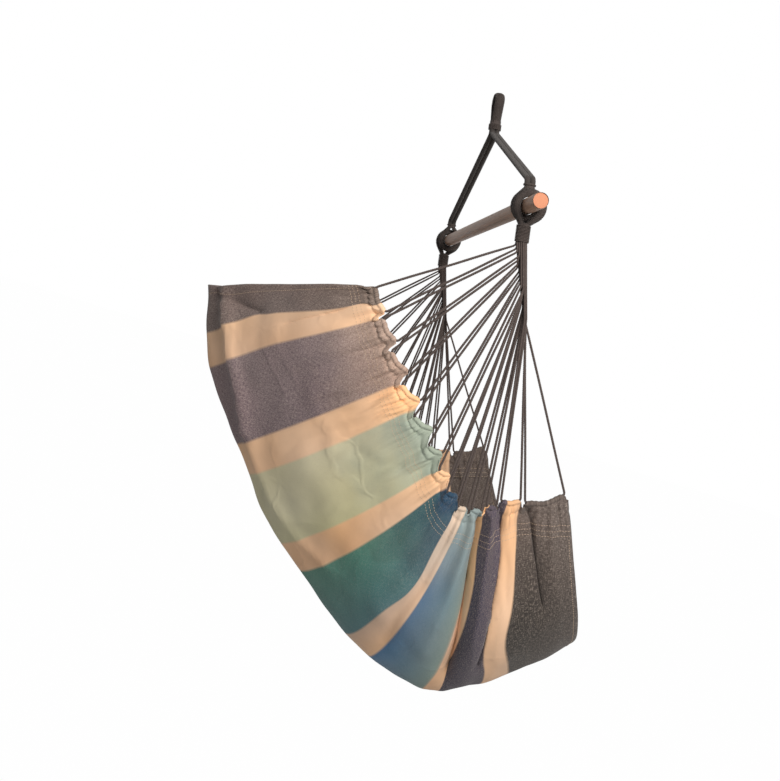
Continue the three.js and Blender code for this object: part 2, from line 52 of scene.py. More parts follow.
# Cord loops: thirteen on each side, twisted from three plies of dark cotton. Each goes down
# from the neck, where it is bound tight, through one tab of the casing on the side edge of the
# cloth, and back up. The routes are the part's own, in millimetres upright, and then lean.
hanging_lean = math.radians(10)
bar_drop = 290.0
clew_x = 424.3
neck_set_back = 6.0
whipping_top = -327.5
whipping_base = -360.8
neck_base = -344.15
back_reach, seat_drop, edge_spread = 592.0, 1060.0, 400.0
cord_loops = 13
cord_diameter = 3.4
cord_radius = cord_diameter / 2
free_cord_radius, bound_cord_radius = 2.45, 1.95
cord_bend_radius, soft_bend_radius = 7.5, 60.0
straight_enough, blunt_turn, bend_steps = math.radians(89.9), math.radians(20), 12
swell_length = 60.0
clearance = 0.3
fan_first_depth, fan_last_depth, fan_deepest_share, fan_forward = 5.0, 140.0, 0.8, 14.0
cord_spacing_at_edge = 8.2
foot_splay_share = 0.7
hanging_shares = np.array([
    [0.000, 0.962, 0.444, 0.173, 1.000, 0.203, 1.15],
    [0.067, 0.970, 0.422, 0.198, 0.983, 0.303, 1.20],
    [0.113, 0.980, 0.402, 0.228, 0.956, 0.375, 1.25],
    [0.230, 0.995, 0.311, 0.334, 0.818, 0.529, 1.30],
    [0.387, 1.000, 0.159, 0.478, 0.595, 0.725, 1.40],
    [0.543, 0.988, 0.084, 0.551, 0.312, 0.906, 1.55],
    [0.699, 0.970, 0.000, 0.549, 0.015, 1.013, 1.80],
    [0.862, 0.955, -0.064, 0.534, -0.205, 0.980, 2.10],
    [0.908, 0.950, -0.111, 0.523, -0.290, 0.948, 2.20],
    [1.000, 0.938, -0.287, 0.519, -0.497, 0.858, 2.50],
])
tab_shares = [
    0, 0.108, 0.167, 0.225, 0.279, 0.330, 0.376, 0.434, 0.523, 0.611, 0.702, 0.830, 0.919, 1,
]
both_sides = (("right", -1), ("left", 1))


def leaning(points):
    """Points of the upright chair in millimetres, as metres of the chair that leans."""
    points = np.asarray(points, float) * 0.001
    back, rise = points[..., 1], points[..., 2]
    turned = points.copy()
    turned[..., 1] = back * math.cos(hanging_lean) + rise * math.sin(hanging_lean)
    turned[..., 2] = rise * math.cos(hanging_lean) - back * math.sin(hanging_lean)
    return turned


def unit(vectors):
    """The same vectors, each one long."""
    return vectors / np.linalg.norm(vectors, axis=-1, keepdims=True)


def lengths_along(route):
    """How far along a route each of its points lies."""
    return np.concatenate([[0], np.cumsum(np.linalg.norm(np.diff(route, axis=0), axis=1))])


def sampled(marks, lengths, values):
    """Values at marks along a route, from those at its own lengths."""
    return np.stack([np.interp(marks, lengths, column) for column in values.T], axis=-1)


def hanging_at(shares):
    """How the cloth hangs at shares of its length, one smooth row for each."""
    rows = hanging_shares
    last = len(rows) - 1
    slopes = np.array([
        (rows[min(at + 1, last)] - rows[max(at - 1, 0)])
        / (rows[min(at + 1, last)][0] - rows[max(at - 1, 0)][0])
        for at in range(last + 1)
    ])
    shares = np.atleast_1d(shares)
    at = np.clip(np.searchsorted(rows[:, 0], shares, side="right") - 1, 0, last - 1)
    span = (rows[at + 1, 0] - rows[at, 0])[:, None]
    along = (shares - rows[at, 0])[:, None] / span
    a, b = rows[at], rows[at + 1]
    slope_a, slope_b = slopes[at] * span, slopes[at + 1] * span
    curve = 2 * a - 2 * b + slope_a + slope_b
    bend = 3 * b - 3 * a - 2 * slope_a - slope_b
    return ((curve * along + bend) * along + slope_a) * along + a


def seat_points(length_shares, across_shares):
    """The smooth right half of the seat: a row of points for each share of its length."""
    hang = hanging_at(length_shares)
    out, edge_back, edge_down, mid_back, mid_down, fullness = hang.T[1:, :, None]
    angle = np.linspace(0, math.pi / 2, 97)[None, :]
    sunk = np.sin(angle) ** (2 / fullness)
    inward = 1 - np.clip(np.cos(angle), 0, 1) ** (2 / fullness)
    edge_y, edge_z = edge_back * back_reach, -bar_drop - edge_down * seat_drop
    mid_y, mid_z = mid_back * back_reach, -bar_drop - mid_down * seat_drop
    section = np.stack([
        -out * edge_spread * (1 - inward),
        edge_y + (mid_y - edge_y) * sunk,
        edge_z + (mid_z - edge_z) * sunk,
    ], axis=-1)
    rows = []
    for points in section:
        lengths = lengths_along(points)
        rows.append(sampled(np.asarray(across_shares) * lengths[-1], lengths, points))
    return np.array(rows)


# Places of the cord ends in the neck: a close hexagonal pack, back places first
pack_pitch = cord_diameter + 0.5
places = []
for row in range(-6, 7):
    for column in range(-6, 7):
        places.append((
            (column + row / 2 - 0.5) * pack_pitch,
            (row * math.sqrt(3) / 2 - math.sqrt(3) / 6) * pack_pitch,
        ))
places.sort(key=lambda place: math.sqrt(place[0] * place[0] + place[1] * place[1]))
cord_places = places[: 2 * cord_loops]
row_of = {
    place: math.floor((2 * place[1] / pack_pitch + 1 / math.sqrt(3)) / math.sqrt(3) + 0.5)
    for place in cord_places
}
cord_places.sort(key=lambda p: (-row_of[p], p[0] if row_of[p] % 2 == 0 else -p[0]))
neck_radius = max(math.hypot(*place) for place in cord_places) + cord_radius


def leave_point(order):
    """Where a strand leaves the hanging bundle for its tab."""
    share = min(order / (fan_deepest_share * (2 * cord_loops - 1)), 1)
    depth = fan_first_depth + (fan_last_depth - fan_first_depth) * share
    drop = depth / fan_last_depth
    place = cord_places[order]
    return np.array([
        -clew_x + place[0],
        neck_set_back + (-fan_forward - neck_set_back) * drop + place[1],
        whipping_base - fan_last_depth * drop,
    ])


tunnel_spare = 2 * cord_bend_radius + clearance
tunnel_sag_share, tunnel_sag_most = 0.1, 7.0
tabs = []
edge_marks = seat_points(np.array(tab_shares), [0.0])[:, 0]
for index in range(cord_loops):
    start, end = edge_marks[index], edge_marks[index + 1]
    chord = np.linalg.norm(end - start)
    spare = cord_spacing_at_edge / 2 / chord
    feet = []
    for strand, share in enumerate([spare, 1 - spare]):
        foot = start + (end - start) * share
        foot[0] += foot_splay_share * cord_places[2 * index + strand][0]
        feet.append(foot)
    centre = (feet[0] + feet[1]) / 2
    up = unit((leave_point(2 * index) + leave_point(2 * index + 1)) / 2 - centre)
    run = feet[1] - feet[0]
    run -= up * run.dot(up)
    width = np.linalg.norm(run)
    tunnel = width - tunnel_spare
    tabs.append({
        "centre": centre, "up": up, "run": run / width, "width": width, "chord": chord,
        "tunnel": tunnel, "sag": min(tunnel_sag_share * tunnel, tunnel_sag_most),
    })


def sagging(tab, points):
    """How far the casing and its cord sink below points of a tab's straight tunnel."""
    along = (points - tab["centre"]).dot(tab["run"]) / (tab["tunnel"] / 2)
    level = np.abs((points - tab["centre"]).dot(tab["up"])) < 1.0
    return level * tab["sag"] * np.clip(1 - along * along, 0, 1) ** 2


def rounded(corners, sharp_radius, soft_radius):
    """A route through corners, its sharp ones turned on one radius and its blunt ones eased."""
    route = [corners[0]]
    for before, corner, after in zip(corners, corners[1:], corners[2:]):
        to_before, to_after = before - corner, after - corner
        reach_before, reach_after = np.linalg.norm(to_before), np.linalg.norm(to_after)
        to_before, to_after = to_before / reach_before, to_after / reach_after
        half = math.acos(max(-1.0, min(1.0, to_before.dot(to_after)))) / 2
        if half > straight_enough:
            route.append(corner)
            continue
        radius = sharp_radius
        if math.pi - 2 * half < blunt_turn:
            radius = min(soft_radius, 0.45 * min(reach_before, reach_after) * math.tan(half))
        reach = radius / math.tan(half)
        middle = to_before + to_after
        middle_point = corner + middle / np.linalg.norm(middle) * radius / math.sin(half)
        first = corner + to_before * reach - middle_point
        last = corner + to_after * reach - middle_point
        sweep = math.pi - 2 * half
        for at in range(bend_steps + 1):
            share = at / bend_steps
            route.append(middle_point + (
                first * math.sin((1 - share) * sweep) + last * math.sin(share * sweep)
            ) / math.sin(sweep))
    route.append(corners[-1])
    return np.array(route)


def evenly(route, step):
    """The same route, with its points one even step apart."""
    lengths = lengths_along(route)
    keep = np.concatenate([[True], np.diff(lengths) > 1e-9])
    route, lengths = route[keep], lengths[keep]
    marks = np.linspace(0, lengths[-1], max(int(round(lengths[-1] / step)), 2) + 1)
    return sampled(marks, lengths, route)


def laid_tube(route, reach, lay=None):
    """Rings of points round a route. reach gives the surface's distance from the route at
    angles and lengths, and turns once in each lay."""
    tangents = unit(np.gradient(route, axis=0))
    helper = np.eye(3)[np.argmin(np.abs(tangents[0]))]
    normal = unit(np.cross(tangents[0], helper))
    normals = []
    for tangent in tangents:
        normal = unit(normal - tangent * normal.dot(tangent))
        normals.append(normal)
    normals = np.array(normals)
    sideways = np.cross(tangents, normals)
    lengths = lengths_along(route)
    angles, distances = reach(lengths)
    turn = angles + (0 if lay is None else 2 * math.pi * lengths[:, None] / lay)
    rings = (
        route[:, None, :]
        + normals[:, None, :] * (distances * np.cos(turn))[:, :, None]
        + sideways[:, None, :] * (distances * np.sin(turn))[:, :, None]
    )
    return rings, lengths


def all_round(sides):
    """Even angles once round."""
    return np.arange(sides) / sides * 2 * math.pi


def three_ply(radius, sides=12):
    """The outline of three plies laid together, for laid_tube."""
    angles = all_round(sides)
    swell = 0.5 + 0.5 * np.cos(3 * angles)
    return lambda lengths: (angles, radius * (0.86 + 0.18 * swell ** 0.7))


def unbound(first_left, last_left):
    """A cord's outline: pressed thin in the bundle and full where it hangs free, which is
    between the lengths at which its two strands leave the bundle."""
    outline = three_ply(free_cord_radius)

    def reach(lengths):
        angles, distances = outline(lengths)
        free = np.clip(np.minimum(lengths - first_left, last_left - lengths) / swell_length, 0, 1)
        pressed = bound_cord_radius / free_cord_radius
        return angles, distances * (pressed + (1 - pressed) * free * (2 - free))[:, None]
    return reach


def mesh_piece(name, points, faces, material, uv_name=None, corners=None):
    """A smooth piece from points in millimetres, its faces and the UV of their corners."""
    mesh = bpy.data.meshes.new(name)
    mesh.from_pydata(leaning(points).tolist(), [], faces)
    if uv_name:
        layer = mesh.uv_layers.new(name=uv_name)
        layer.data.foreach_set("uv", corners.astype(np.float32).ravel())
    mesh.shade_smooth()
    mesh.materials.append(material)
    piece = bpy.data.objects.new(name, mesh)
    bpy.context.scene.collection.objects.link(piece)
    return piece


def tube_piece(name, tubes, material, body, node):
    """One piece of closed tubes, which replaces a node. Each tube is its rings of points and the
    lengths to them, and its UV runs once round it and in decimetres along it."""
    vertices, faces, corners = [], [], []
    offset = 0
    for rings, lengths in tubes:
        count, sides = rings.shape[:2]
        vertices.append(rings.reshape(-1, 3))
        ring, side = np.meshgrid(np.arange(count - 1), np.arange(sides), indexing="ij")
        following = (side + 1) % sides
        quads = np.stack([
            ring * sides + side, ring * sides + following,
            (ring + 1) * sides + following, (ring + 1) * sides + side,
        ], axis=-1).reshape(-1, 4)
        faces += (quads + offset).tolist()
        around = np.stack([side, side + 1, side + 1, side], axis=-1).reshape(-1, 4) / sides
        along = lengths[np.stack([ring, ring, ring + 1, ring + 1], axis=-1)].reshape(-1, 4) / 100
        corners.append(np.stack([around, along], axis=-1).reshape(-1, 2))
        faces.append(list(range(offset + sides - 1, offset - 1, -1)))
        faces.append(list(range(offset + (count - 1) * sides, offset + count * sides)))
        corners.append(np.tile([0.5, lengths[0] / 100], (sides, 1)))
        corners.append(np.tile([0.5, lengths[-1] / 100], (sides, 1)))
        offset += count * sides
    corners = np.concatenate(corners)
    piece = mesh_piece(name, np.concatenate(vertices), faces, material, "along", corners)
    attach(piece, body)
    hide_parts(node)
    return piece


def main_output(source):
    """A node's main output, or the socket itself where one is given."""
    if not hasattr(source, "outputs"):
        return source
    return source.outputs[2 if source.bl_idname == "ShaderNodeMix" else 0]


def steps_of(tree):
    """A maker of a tree's nodes. The settings name properties or number inputs, and a link
    i0, i1 and so on leads from a node or a socket to that input."""
    def step(kind, settings=(), **links):
        made = tree.nodes.new("ShaderNode" + kind)
        for key, value in dict(settings).items():
            if isinstance(key, str):
                setattr(made, key, value)
            else:
                made.inputs[key].default_value = value
        for key, source in links.items():
            tree.links.new(main_output(source), made.inputs[int(key[1:])])
        return made
    return step


def noise(step, source, scale, detail, rough=0.5, stretch=(1, 1, 1), shift=(0, 0, 0), warp=0.0):
    """Noise over a place, which is stretched and shifted first."""
    place = step("Mapping", {1: shift, 3: stretch}, i0=source)
    return step("TexNoise", {2: scale, 3: detail, 4: rough, 8: warp}, i0=place)


def ranged(step, source, low, high, to_low=0.0, to_high=1.0):
    """A value brought from one range into another and kept inside it."""
    return step("MapRange", {1: low, 2: high, 3: to_low, 4: to_high}, i0=source)


def finish_of(name):
    """A new material, a maker of its nodes, and a way to set or link its shader's inputs."""
    material = bpy.data.materials.new(name)
    material.use_nodes = True
    tree = material.node_tree
    shader = tree.nodes["Principled BSDF"]

    def put(socket, value):
        if hasattr(value, "outputs"):
            tree.links.new(main_output(value), shader.inputs[socket])
        else:
            shader.inputs[socket].default_value = value
    return material, steps_of(tree), put


def dyed_cotton(name, dark, light, lay, fleck_share):
    """Dark dyed cotton yarn: fibres that follow the lay, a paler one here and there, and the
    dye a little uneven along the cord."""
    material, step, put = finish_of(name)
    apart = step("SeparateXYZ", i0=step("UVMap", {"uv_map": "along"}))
    turns_per_decimetre = 10.0 / lay
    turns = step("Math", {"operation": "MULTIPLY_ADD", 1: turns_per_decimetre},
                 i0=apart.outputs[1], i2=apart.outputs[0])
    fibre_place = step("CombineXYZ", i0=turns, i1=apart.outputs[1])
    fibres = noise(step, fibre_place, 1.0, 4.0, 0.65, stretch=(34.0, 9.0, 1.0))
    flecks = noise(step, fibre_place, 1.0, 2.0, 0.6, stretch=(13.0, 15.0, 1.0), shift=(3.1, 7.7, 0.0))
    fleck_mask = ranged(step, flecks, 0.64 - fleck_share, 0.70 - fleck_share, 0.0, 0.75)
    dye = noise(step, step("TexCoord").outputs[3], 14.0, 3.0)
    darker = tuple(channel * 0.62 for channel in dark[:3]) + (1,)
    paler = tuple(channel * 1.35 for channel in dark[:3]) + (1,)
    ground = step("Mix", {"data_type": "RGBA", 6: darker, 7: paler}, i0=fibres)
    aged = step("Mix", {"data_type": "RGBA", 7: dark}, i0=ranged(step, dye, 0.3, 0.7), i6=ground)
    put("Base Color", step("Mix", {"data_type": "RGBA", 7: light}, i0=fleck_mask, i6=aged))
    put("Roughness", ranged(step, fibres, 0.0, 1.0, 0.82, 0.98))
    put("Normal", step("Bump", {0: 0.45, 1: 0.0003}, i3=fibres))
    put("Sheen Weight", 0.15)
    put("Sheen Roughness", 0.45)
    return material


def declared(route):
    """Works out a cord's path in the leaning chair; nothing more is done with it."""
    path = leaning(route)


cord_cotton = dyed_cotton("cord_cotton", (0.066, 0.050, 0.046, 1), (0.30, 0.24, 0.19, 1), 1.1, 0.0)
cord_lay, route_step, path_every = 11.0, 1.5, 6
for side, sign in both_sides:
    for index, tab in enumerate(tabs):
        ends = []
        for strand, direction in enumerate((-1, 1)):
            order = 2 * index + strand
            place = cord_places[order]
            mouth = np.array([-clew_x + place[0], neck_set_back + place[1], whipping_base])
            top = np.array([mouth[0], mouth[1], neck_base - clearance])
            foot = tab["centre"] + tab["run"] * direction * tab["width"] / 2
            ends.append([top, mouth, leave_point(order), foot])
        corners = ends[0] + ends[1][::-1]
        route = evenly(rounded(corners, cord_bend_radius, soft_bend_radius), route_step)
        route -= sagging(tab, route)[:, None] * tab["up"]
        route[:, 0] *= -sign
        share = np.linspace(0, 1, len(route))
        span = lengths_along(route)[-1]
        leaves = [np.linalg.norm(end[0] - end[2]) for end in ends]
        calm = np.sin(share * math.pi * 2) ** 2
        route[:, 1] += 0.5 * calm * np.sin(19 * share + 2.3 * index - sign)
        route[:, 2] += 0.4 * calm * np.sin(23 * share + 1.7 * index + sign)
        cord = tube_piece(
            f"{side}_cord_loop_{index + 1:02d}",
            [laid_tube(route, unbound(leaves[0], span - leaves[1]), cord_lay)],
            cord_cotton, "seat", f"{side}_cord_{index + 1:02d}",
        )
        declared(route)

# Neck whippings: thin twine wound twelve times round each bundle of cords, below its eye.
# Each end of the twine is tucked in under the turns.
twine_radius = 1.05
twine_lay_share = 6.4
whipping_turns, whipping_pitch = 12, 2.6
points_per_turn, tuck_angle = 40, 0.5


def wound(radius, top, turns, pitch, thin, x, y, tuck=1.6):
    """Twine wound down round an upright axis, with both its ends drawn inwards."""
    angle = np.linspace(0, turns * 2 * math.pi, int(turns * points_per_turn) + 1)
    inward = tuck * sum(
        np.clip(1 - from_end / tuck_angle, 0, 1) ** 2 for from_end in (angle, angle[-1] - angle)
    )
    route = np.stack([
        x + (radius - inward) * np.cos(angle),
        y + (radius - inward) * np.sin(angle),
        top - thin - angle / (2 * math.pi) * pitch,
    ], axis=-1)
    return laid_tube(route, three_ply(thin, 9), thin * twine_lay_share)


twine_cotton = dyed_cotton("twine_cotton", (0.074, 0.058, 0.053, 1), (0.28, 0.23, 0.19, 1), 0.7, -0.02)
for side, sign in both_sides:
    tube_piece(
        f"{side}_whipping_twine",
        [wound(neck_radius + clearance + twine_radius, whipping_top, whipping_turns, whipping_pitch,
               twine_radius, sign * clew_x, neck_set_back)],
        twine_cotton, "seat", f"{side}_neck_whipping",
    )

# Clew eyes: each neck of cords parts in two, goes over the bar and comes back. Twine is served
# close over the whole eye, and over the cords where they meet in the neck.
serving_radius = 0.95
bar_radius = 15.0
eye_width, eye_thickness = 22.0, 16.0
foot_length = 3.0
flute_count, flute_sides, flute_inset, flute_relief = 14, 56, 0.45, 0.35
core_inset_share, core_rings, neck_rings = 1.45, 110, 12
serving_pitch_share, serving_points_per_turn = 2.02, 22


def served_eye(bend_radius, width, thickness, reach, neck_x, eye_neck_radius, base, placed):
    """The eye's core of cords, its neck, and the twine served over it. placed puts points
    that stand in the plane of X and Z, with the bend round Y, where the eye goes."""
    outs = (eye_neck_radius / 2 - neck_x, eye_neck_radius / 2 + neck_x)
    before, after = (
        math.asin(bend_radius / math.hypot(reach, out)) - math.atan2(out, reach) for out in outs
    )
    foot_wide, foot_thick = eye_neck_radius * math.sqrt(3), eye_neck_radius - 0.2
    line = [(-outs[0], -reach - past, foot_wide, foot_thick) for past in (foot_length, 0.0)]
    sweep = math.pi + before + after
    for step in range(41):
        angle = math.pi + before - step / 40 * sweep
        line.append((bend_radius * math.cos(angle), bend_radius * math.sin(angle), width, thickness))
    line += [(outs[1], -reach - past, foot_wide, foot_thick) for past in (0.0, foot_length)]
    line = np.array(line)
    lengths = lengths_along(line[:, :2])

    def along(marks, shrink, angles):
        at = sampled(marks, lengths, line)
        ahead, behind = (sampled(marks + near, lengths, line[:, :2]) for near in (0.4, -0.4))
        heading = unit(ahead - behind)
        out = (at[:, 3] / 2 - shrink)[:, None] * np.cos(angles)
        wide = (at[:, 2] / 2 - shrink)[:, None] * np.sin(angles)
        return np.stack([at[:, :1] - heading[:, 1:] * out, wide, at[:, 1:2] + heading[:, :1] * out], -1)

    round_it = all_round(20)
    marks = np.linspace(0, lengths[-1], core_rings)
    core = along(marks, core_inset_share * serving_radius, round_it)
    turns = lengths[-1] / (serving_pitch_share * serving_radius)
    wind = np.linspace(0, 1, int(turns * serving_points_per_turn))
    twine = along(wind * lengths[-1], serving_radius, (wind * turns * 2 * math.pi)[:, None])[:, 0]
    twine = laid_tube(placed(twine), three_ply(serving_radius, 6), serving_radius * twine_lay_share)
    heights = np.linspace(-reach + 1.0, base, neck_rings)[:, None]
    ring = all_round(flute_sides)
    flutes = eye_neck_radius - flute_inset + flute_relief * np.cos(flute_count * ring)
    neck = np.stack(np.broadcast_arrays(
        neck_x + flutes * np.cos(ring), flutes * np.sin(ring), heights,
    ), axis=-1)
    return [(placed(core[:, ::-1]), marks), twine, (placed(neck), -heights[:, 0])]


served_cotton = dyed_cotton("served_cotton", (0.060, 0.048, 0.045, 1), (0.24, 0.20, 0.17, 1), 0.6, -0.03)
clew_lift, clew_slack, clew_reach = -2.0, 2.0, 34.0


def on_the_bar(x, lift, over):
    """Puts an eye's points on the bar. over is 1 where the eye goes over it and -1 under it."""
    return lambda points: np.stack([
        x - points[..., 1], over * points[..., 0], over * points[..., 2] - bar_drop + lift,
    ], axis=-1)


for side, sign in both_sides:
    tube_piece(
        f"{side}_clew_eye_served",
        served_eye(bar_radius + clearance + clew_slack + eye_thickness / 2, eye_width, eye_thickness,
                   clew_reach, neck_set_back, neck_radius, neck_base + bar_drop - clew_lift,
                   on_the_bar(sign * clew_x, clew_lift, 1)),
        served_cotton, "seat", f"{side}_clew_eye",
    )

# Suspension eyes: the two ropes of each leg part, go under the bar and meet again. They are
# served with the same twine, and the bar lies in them.
suspension_x = 402.0
suspension_lift, suspension_slack, suspension_reach = 0.4, 0.4, 34.0
suspension_stub_radius, suspension_stub_length = 10.3, 5.8
suspension_stub_top = -bar_drop + suspension_lift + suspension_reach + suspension_stub_length
for side, sign in both_sides:
    tube_piece(
        f"{side}_suspension_eye_served",
        served_eye(bar_radius + clearance + suspension_slack + eye_thickness / 2, eye_width,
                   eye_thickness, suspension_reach, 0.0, suspension_stub_radius,
                   -suspension_reach - suspension_stub_length,
                   on_the_bar(sign * suspension_x, suspension_lift, -1)),
        served_cotton, "hanger", f"{side}_suspension_eye",
    )

# Seizings: two turns of twine bind the two ropes of a leg where they run into their eye. The ends
# of the twine are tucked in.
seizing_radius, seizing_turns, seizing_pitch, seizing_height = 0.85, 2.0, 1.72, 2.6
for side, sign in both_sides:
    tube_piece(
        f"{side}_seizing_twine",
        [wound(suspension_stub_radius + clearance + seizing_radius, suspension_stub_top + seizing_height,
               seizing_turns, seizing_pitch, seizing_radius, sign * suspension_x, 0.0, tuck=0.6)],
        twine_cotton, "hanger", f"{side}_rope_seizing",
    )

# Hanging eye: the four ropes meet here, and a served bight of them makes the loop for the hook.
# A binding of twine closes its base round the rope ends.
eye_bend_radius, eye_bend_centre = 18.0, -12.0
hanging_thickness = 12.0
eye_foot, eye_base = -52.0, -65.0
binding_radius, binding_top, binding_turns, binding_pitch = 0.9, -58.5, 6.8, 1.8
rope_place = 5.3
rope_radius, braid_radius = 5.0, 5.6
bundle_of_four = rope_place * math.sqrt(2) + rope_radius
tube_piece(
    "hanging_eye_served",
    served_eye(eye_bend_radius, eye_width, hanging_thickness, eye_bend_centre - eye_foot, 0.0,
               bundle_of_four, eye_base - eye_bend_centre,
               lambda points: points + np.array([0.0, 0.0, eye_bend_centre])),
    served_cotton, "hanger", "hanging_eye",
)
tube_piece(
    "eye_binding_twine",
    [wound(bundle_of_four + clearance + binding_radius, binding_top, binding_turns, binding_pitch,
           binding_radius, 0.0, 0.0, tuck=0.6)],
    twine_cotton, "hanger", "eye_binding",
)

# Suspension ropes: two braided cotton ropes in each leg, from the binding to the seizing. They
# bend where they leave both.
rope_bend_radius, rope_step, rope_path_every = 12.0, 1.0, 9
rope_heights = (-65.3, -81.38, -238.42, -249.5)


def braided(radius, sides=32, carriers=8, advance=34.0, relief=0.42):
    """The outline of a round braid, one strand over and one under, for laid_tube."""
    angles = all_round(sides)

    def reach(lengths):
        around = angles / (2 * math.pi) * carriers
        forward = (lengths / advance * carriers)[:, None]
        left, right = around + forward, around - forward
        over = (np.floor(left) + np.floor(right)) % 2 == 0
        across = np.where(over, left % 1, right % 1) - 0.5
        on = np.where(over, right % 1, left % 1) - 0.5
        swell = (1 - (2 * across) ** 2) * (0.55 + 0.45 * np.cos(math.pi * on))
        return angles, radius - relief + relief * swell
    return reach


rope_cotton = dyed_cotton("rope_cotton", (0.037, 0.031, 0.029, 1), (0.22, 0.19, 0.16, 1), 3.4, -0.03)
for side, sign in both_sides:
    for place, toward in (("front", -1), ("rear", 1)):
        out = (sign * rope_place, sign * rope_place, sign * suspension_x, sign * suspension_x)
        corners = [np.array([x, toward * rope_place, z]) for x, z in zip(out, rope_heights)]
        route = evenly(rounded(corners, rope_bend_radius, soft_bend_radius), rope_step)
        rope = tube_piece(
            f"{side}_{place}_braided_rope", [laid_tube(route, braided(braid_radius))],
            rope_cotton, "hanger", f"{side}_{place}_rope",
        )
        declared(route)

# Spreader bar: one round stick of pale wood, stained taupe, with bare sawn ends whose edges
# are broken. It is turned from a cylinder whose end edges are bevelled.
bpy.ops.object.select_all(action="DESELECT")
bar_length, end_bevel, end_inset, end_facing = 1.0, 0.0015, 0.004, 0.9
bpy.ops.mesh.primitive_cylinder_add(
    vertices=96, radius=bar_radius / 1000, depth=bar_length,
    location=leaning([0.0, 0.0, -bar_drop]), rotation=(0, math.pi / 2, 0),
)
bar = bpy.context.object
bar.name = "stained_bar"
bpy.ops.object.transform_apply(location=True, rotation=True, scale=True)


def edit_the_ends():
    """Goes into edit mode with the two end faces selected."""
    bpy.ops.object.mode_set(mode="OBJECT")
    for face in bar.data.polygons:
        face.select = abs(face.normal.x) > end_facing
    bpy.ops.object.mode_set(mode="EDIT")


bpy.ops.object.mode_set(mode="EDIT")
bpy.ops.mesh.select_mode(type="FACE")
bpy.ops.mesh.select_all(action="DESELECT")
edit_the_ends()
bpy.ops.mesh.region_to_loop()
bpy.ops.mesh.bevel(offset=end_bevel, segments=4, affect="EDGES")
edit_the_ends()
bpy.ops.mesh.inset(thickness=end_inset)
bpy.ops.mesh.inset(thickness=end_inset)
bpy.ops.object.mode_set(mode="OBJECT")
bpy.ops.object.shade_smooth_by_angle(angle=math.radians(35))
bar.data.uv_layers.remove(bar.data.uv_layers[0])


def toned(step, source, stops):
    """A ramp of colours over a value. Each stop is a place and a colour, in order."""
    made = step("ValToRGB", i0=source)
    elements = made.color_ramp.elements
    elements[0].position, elements[0].color = stops[0]
    elements[1].position, elements[1].color = stops[-1]
    for position, colour in stops[1:-1]:
        elements.new(position).color = colour
    return made


stain, step, put = finish_of("bar_stain")
place = step("TexCoord").outputs[3]
grain = noise(step, place, 2.4, 7.0, 0.62, stretch=(2.2, 60.0, 60.0), warp=0.6)
pores = noise(step, place, 1.6, 4.0, 0.7, stretch=(9.0, 420.0, 420.0))
blotch = noise(step, place, 5.0, 3.0)
figure = toned(step, grain, [
    (0.28, (0.240, 0.148, 0.105, 1)), (0.5, (0.412, 0.272, 0.200, 1)), (0.72, (0.555, 0.378, 0.278, 1)),
])
pore_mask = ranged(step, pores, 0.60, 0.72, 0.0, 0.55)
pored = step("Mix", {"data_type": "RGBA", 7: (0.07, 0.05, 0.042, 1)}, i0=pore_mask, i6=figure)
lightness = ranged(step, blotch, 0.0, 1.0, 0.88, 1.12)
put("Base Color", step("HueSaturation", i2=lightness, i4=pored))
put("Roughness", ranged(step, grain, 0.0, 1.0, 0.42, 0.62))
put("Normal", step("Bump", {0: 0.35, 1: 0.0004}, i3=pores))
put("Specular IOR Level", 0.35)

bare, step, put = finish_of("bar_bare_end")
place = step("TexCoord").outputs[3]
to_the_pith = (0.0, 0.0462, 0.2801)
centred = step("Mapping", {1: to_the_pith}, i0=place)
wobble = noise(step, place, 70.0, 2.0)
shifted = step("Mix", {"data_type": "VECTOR", 0: 0.004}, i4=centred, i5=wobble.outputs[1])
rings = step("TexWave", {"wave_type": "RINGS", "rings_direction": "X", 1: 210.0, 2: 0.6, 3: 1.0},
             i0=shifted.outputs[1])
year = toned(step, rings, [(0.1, (0.54, 0.217, 0.121, 1)), (0.9, (0.64, 0.284, 0.164, 1))])
saw = noise(step, place, 900.0, 3.0, stretch=(1.0, 0.12, 1.0))
saw_marks = ranged(step, saw, 0.55, 0.75, 0.0, 0.5)
put("Base Color", step("Mix", {"data_type": "RGBA", 7: (0.50, 0.198, 0.106, 1)}, i0=saw_marks, i6=year))
put("Normal", step("Bump", {0: 0.3, 1: 0.0003}, i3=saw))
put("Roughness", 0.78)
bar.data.materials.clear()
bar.data.materials.append(stain)
bar.data.materials.append(bare)
for face in bar.data.polygons:
    face.material_index = int(abs(face.normal.x) > end_facing)
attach(bar, "bar")
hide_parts("spreader_bar")

# Seat cloth: one length of striped hand-loomed cotton, hung in a deep hollow. Each side edge is
# folded over the cord loops into a casing, gathered on them and notched between them, and both
# ends are hemmed.
half_width = 600.0
cloth_length = 1434.0
cloth_thickness = 1.4
layer_gap = 1.6
casing_radius = 4.3
notch_fold_radius = 1.0
notch_drop = 11.0
side_hem = 71.0
stitch_rows = [46, 57, 67]
stitch_lift = cloth_thickness / 2 + 0.1
groove_place, groove_width, groove_depth = 20, 4.5, 3.6
crest_radius = 3.0
held_reach, casing_reach, loose_reach = 25, 9, 60
swelling_height, swelling_reach = 10, 150
casing_ripple, casing_ripple_pitch = 0.10, 9.5
row_pitch = 2.1
ear_radius = 3.5
ear_marks = cord_bend_radius * np.sin(np.radians([15, 30, 45]))
notch_mark = 8.9
bunch_shares = [0.5, 0.5, 0.5, 0.5, 0.5, 0.6, 0.7, 0.8, 1, 1.2, 1.2, 0.9, 0.5]


def eased(share):
    """A share from 0 to 1 that starts and ends gently."""
    share = np.clip(share, 0, 1)
    return share * share * (3 - 2 * share)


